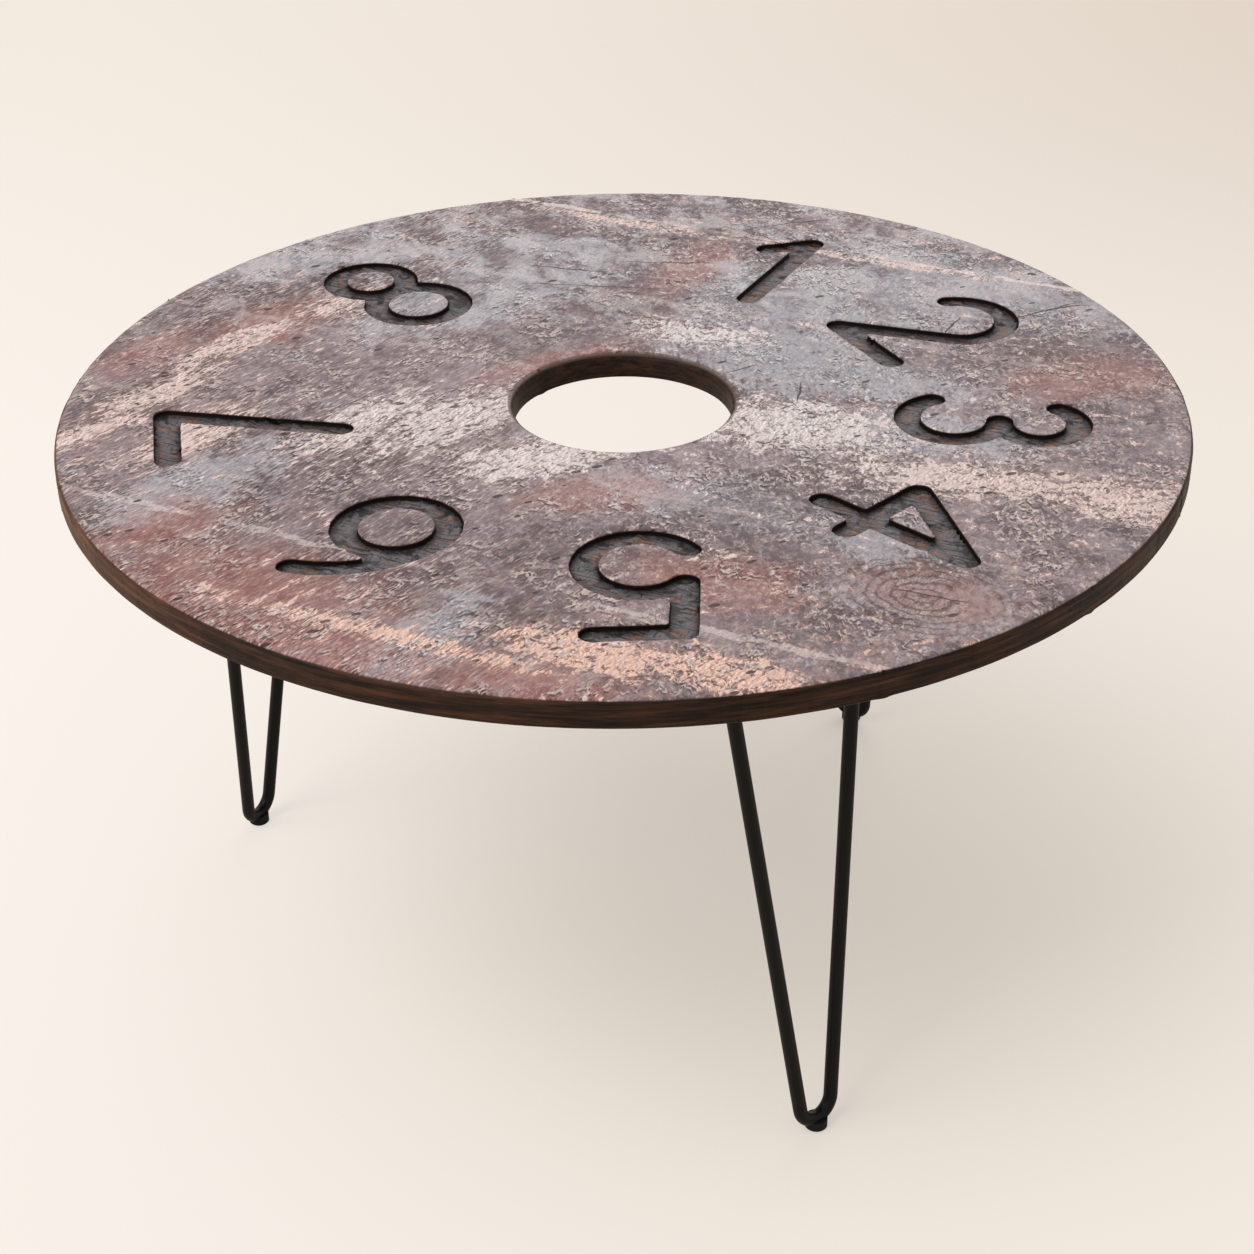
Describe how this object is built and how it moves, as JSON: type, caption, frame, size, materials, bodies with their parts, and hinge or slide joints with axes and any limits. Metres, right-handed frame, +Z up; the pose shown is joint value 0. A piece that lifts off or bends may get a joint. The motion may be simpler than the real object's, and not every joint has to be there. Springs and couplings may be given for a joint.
{
  "type": "round coffee table",
  "caption": "Low round coffee table with a plank top, a dial of routed numbers, an open centre hole and hairpin legs.",
  "frame": {"origin": "on the floor under the middle of the round top", "axes": "+Z up along the axis of the centre hole, -Y towards the pictured front"},
  "size_m": [0.8, 0.8, 0.426],
  "materials": {
    "painted_boards": "worn layered paint over dark stained wood",
    "dowel_wood": "bare beech",
    "black_steel": "satin black powder coat",
    "screw_steel": "black oxide",
    "glide_plastic": "matt black moulding"
  },
  "bodies": {
    "root": {"top_board_1": "painted_boards", "top_board_2": "painted_boards", "top_board_3": "painted_boards", "top_board_4": "painted_boards", "top_board_5": "painted_boards", "top_board_6": "painted_boards", "seam_dowels_1": "dowel_wood", "seam_dowels_2": "dowel_wood", "seam_dowels_3": "dowel_wood", "seam_dowels_4": "dowel_wood", "seam_dowels_5": "dowel_wood", "front_leg_rod": "black_steel", "front_leg_plate": "black_steel", "front_leg_welds": "black_steel", "front_leg_screws": "screw_steel", "front_leg_glide": "glide_plastic", "left_leg_rod": "black_steel", "left_leg_plate": "black_steel", "left_leg_welds": "black_steel", "left_leg_screws": "screw_steel", "left_leg_glide": "glide_plastic", "back_leg_rod": "black_steel", "back_leg_plate": "black_steel", "back_leg_welds": "black_steel", "back_leg_screws": "screw_steel", "back_leg_glide": "glide_plastic"}
  },
  "joints": []
}
